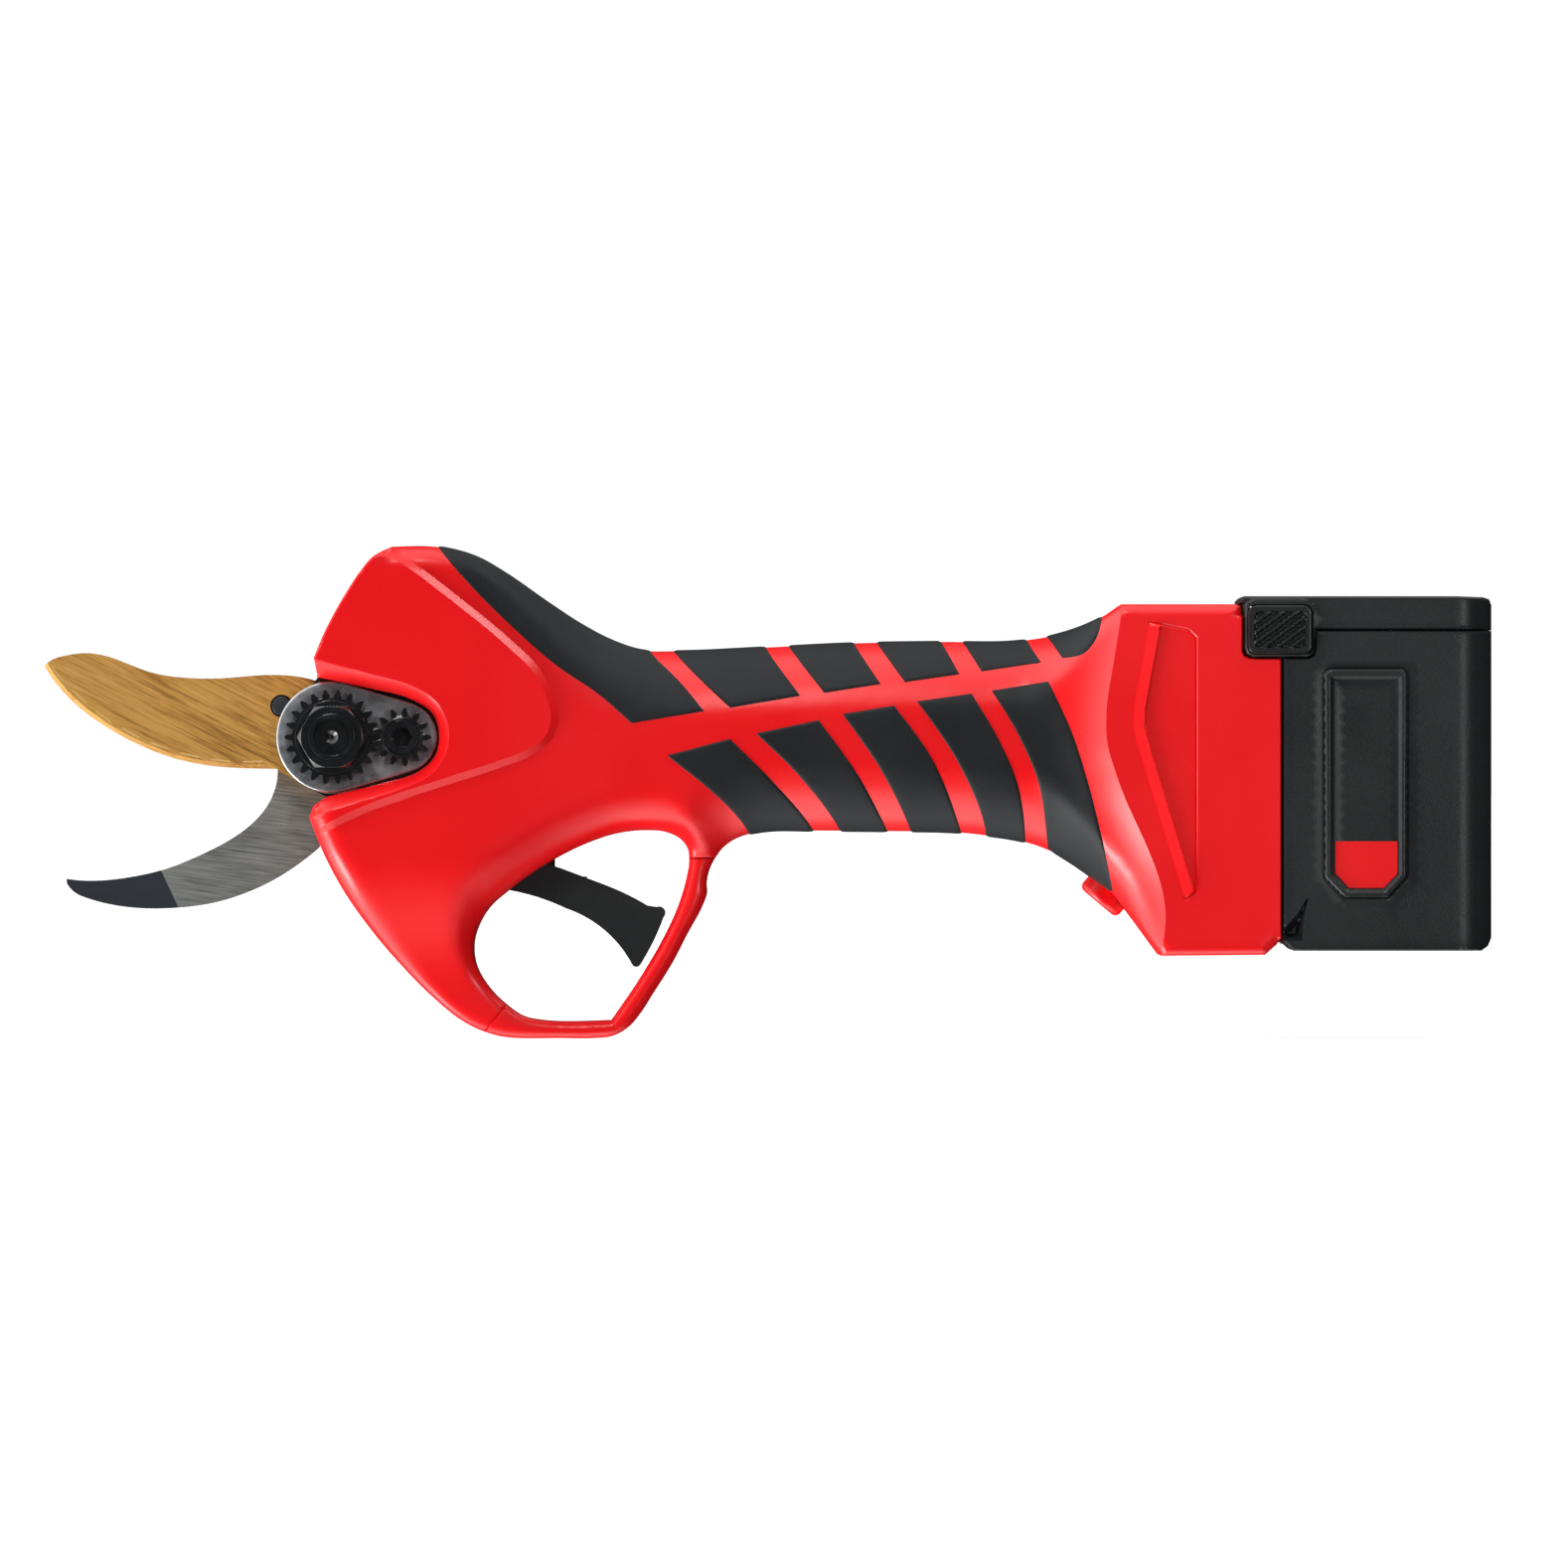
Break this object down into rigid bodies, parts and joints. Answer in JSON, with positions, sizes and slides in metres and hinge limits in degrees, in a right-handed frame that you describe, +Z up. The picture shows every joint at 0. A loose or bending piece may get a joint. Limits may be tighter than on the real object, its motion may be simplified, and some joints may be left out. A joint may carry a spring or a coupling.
{
  "type": "battery electric pruner",
  "caption": "Cordless pruning shear: hooked counter blade and driven cutting blade on a straight grip with a trigger guard, and a plug-in battery at the rear.",
  "frame": {"origin": "on the floor plane under the middle of the tool, at the middle of its bounding box", "axes": "+X along the tool from the blade tips to the battery, +Z up as held level, +Y to the operator's right; the blade adjuster faces -Y"},
  "size_m": [0.31, 0.0504, 0.1037],
  "materials": {
    "red_plastic": "satin moulded red ABS",
    "black_plastic": "fine grained black nylon",
    "black_rubber": "soft textured thermoplastic rubber",
    "gold_steel": "gold titanium-nitride coated steel, brushed",
    "blade_steel": "grey brushed tool steel",
    "bright_steel": "zinc plated steel",
    "dark_steel": "black oxide steel",
    "cast_aluminium": "die cast",
    "bronze": "sintered bronze",
    "copper": "nickel or copper strip",
    "circuit_green": "epoxy board",
    "cell_wrap": "shrink sleeve",
    "wire_red": "silicone insulated wire",
    "magnet_grey": "ferrite"
  },
  "bodies": {
    "handle": {"battery_wires": "wire_red", "board_capacitors": "dark_steel", "board_processor": "black_plastic", "board_transistors": "black_plastic", "cheek_plate": "blade_steel", "control_board": "circuit_green", "counter_blade": "blade_steel", "counter_blade_screw": "dark_steel", "gearbox_plate": "bright_steel", "grip_overmold_left": "black_rubber", "grip_overmold_right": "black_rubber", "head_frame": "cast_aluminium", "housing_left": "red_plastic", "housing_right": "red_plastic", "housing_screws": "dark_steel", "locking_screw": "dark_steel", "motor_bushes": "bronze", "motor_can": "bright_steel", "motor_end_cap": "black_plastic", "motor_magnets": "magnet_grey", "motor_wires": "wire_red", "output_bush": "bronze", "pivot_bolt": "dark_steel", "power_switch": "black_plastic", "ring_gear": "blade_steel", "terminal_blades": "copper", "terminal_block": "black_plastic", "trigger_guard": "red_plastic", "trigger_pin": "bright_steel", "trigger_sensor": "circuit_green", "trigger_spring": "bright_steel"},
    "blade": {"cutting_blade": "gold_steel", "drive_sector": "blade_steel", "sector_rivets": "dark_steel", "blade_pin": "dark_steel", "pivot_bush": "bronze"},
    "output_shaft": {"bevel_pinion": "blade_steel", "planet_carrier": "blade_steel", "planet_pins": "bright_steel"},
    "planet_1": {"planet_gear_1": "blade_steel"},
    "planet_2": {"planet_gear_2": "blade_steel"},
    "planet_3": {"planet_gear_3": "blade_steel"},
    "rotor": {"motor_rotor": "copper"},
    "nut": {"adjusting_nut": "dark_steel"},
    "lock": {"locking_pinion": "dark_steel"},
    "trigger": {"trigger_lever": "black_plastic", "trigger_magnet": "magnet_grey"},
    "button": {"power_button": "red_plastic"},
    "battery": {"battery_case": "black_plastic", "battery_lid": "black_plastic", "battery_cells": "cell_wrap", "cell_strips": "bright_steel", "battery_board": "circuit_green", "battery_contacts": "copper", "battery_screws": "dark_steel", "latch_spring_left": "bright_steel", "latch_spring_right": "bright_steel"},
    "latch_left": {"latch_button_left": "black_plastic"},
    "latch_right": {"latch_button_right": "black_plastic"}
  },
  "joints": [
    {"name": "blade_pivot", "type": "hinge", "parent": "handle", "child": "blade", "pos_m": [-0.09325, -0.0097, 0.0645], "axis": [0, -1, 0], "range_deg": [0, 46]},
    {"name": "output_shaft_spin", "type": "hinge", "parent": "handle", "child": "output_shaft", "pos_m": [-0.06525, 0, 0.0645], "axis": [1, 0, 0], "range_deg": [-231, 1]},
    {"name": "planet_1_spin", "type": "hinge", "parent": "output_shaft", "child": "planet_1", "pos_m": [-0.05325, 0.00743, 0.0645], "axis": [1, 0, 0], "range_deg": [-1, 645]},
    {"name": "planet_2_spin", "type": "hinge", "parent": "output_shaft", "child": "planet_2", "pos_m": [-0.05325, -0.00371, 0.07093], "axis": [1, 0, 0], "range_deg": [-1, 645]},
    {"name": "planet_3_spin", "type": "hinge", "parent": "output_shaft", "child": "planet_3", "pos_m": [-0.05325, -0.00371, 0.05807], "axis": [1, 0, 0], "range_deg": [-1, 645]},
    {"name": "rotor_spin", "type": "hinge", "parent": "handle", "child": "rotor", "pos_m": [-0.02325, 0, 0.0645], "axis": [1, 0, 0], "range_deg": [-1036, 1]},
    {"name": "nut_turn", "type": "hinge", "parent": "handle", "child": "nut", "pos_m": [-0.09325, -0.016, 0.0645], "axis": [0, -1, 0], "range_deg": [-180, 180]},
    {"name": "lock_turn", "type": "hinge", "parent": "handle", "child": "lock", "pos_m": [-0.07825, -0.016, 0.0645], "axis": [0, -1, 0], "range_deg": [-305, 305]},
    {"name": "trigger_pull", "type": "hinge", "parent": "handle", "child": "trigger", "pos_m": [-0.06025, 0, 0.0405], "axis": [0, -1, 0], "range_deg": [0, 14], "stiffness_Nm_per_rad": 0.3, "springref_deg": -14.32, "deforming": ["trigger_spring"]},
    {"name": "power_press", "type": "slide", "parent": "handle", "child": "button", "axis": [0.6428, 0, 0.766], "range_m": [0, 0.0015], "stiffness_N_per_m": 700, "springref_m": -0.001},
    {"name": "battery_slide", "type": "slide", "parent": "handle", "child": "battery", "axis": [1, 0, 0], "range_m": [0, 0.035]},
    {"name": "latch_left_press", "type": "slide", "parent": "battery", "child": "latch_left", "axis": [0, 1, 0], "range_m": [0, 0.0025], "stiffness_N_per_m": 500, "springref_m": -0.002, "deforming": ["latch_spring_left"]},
    {"name": "latch_right_press", "type": "slide", "parent": "battery", "child": "latch_right", "axis": [0, -1, 0], "range_m": [0, 0.0025], "stiffness_N_per_m": 500, "springref_m": -0.002, "deforming": ["latch_spring_right"]}
  ],
  "couplings": [
    {"joint": "output_shaft_spin", "follows": "blade_pivot", "ratio": -5},
    {"joint": "planet_1_spin", "follows": "blade_pivot", "ratio": 14},
    {"joint": "planet_2_spin", "follows": "blade_pivot", "ratio": 14},
    {"joint": "planet_3_spin", "follows": "blade_pivot", "ratio": 14},
    {"joint": "rotor_spin", "follows": "blade_pivot", "ratio": -22.5},
    {"joint": "lock_turn", "follows": "nut_turn", "ratio": -1.6923}
  ]
}
